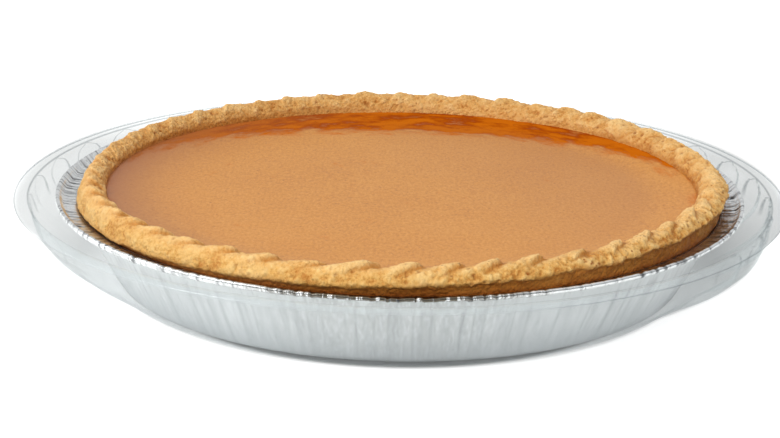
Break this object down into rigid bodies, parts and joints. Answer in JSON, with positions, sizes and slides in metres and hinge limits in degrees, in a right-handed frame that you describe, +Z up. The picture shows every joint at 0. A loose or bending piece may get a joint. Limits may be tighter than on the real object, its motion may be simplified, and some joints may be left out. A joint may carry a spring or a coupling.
{
  "type": "pumpkin pie",
  "caption": "Round whole pumpkin pie with a smooth custard top and a rope-crimped crust, in its pressed foil tin and shallow clear plastic tray.",
  "frame": {"origin": "middle of the underside, on the plane of the clear tray's foot ring", "axes": "+Z up, the pie's axis; -Y is the side that faces the viewer, +X the viewer's right"},
  "size_m": [0.3408, 0.3408, 0.0492],
  "materials": {
    "pastry": "matt",
    "custard": "satin",
    "foil": "bright rolled",
    "clear_plastic": "clear gloss"
  },
  "bodies": {
    "root": {"pie_crust": "pastry", "pumpkin_filling": "custard", "foil_tin": "foil", "clear_tray": "clear_plastic"}
  },
  "joints": []
}
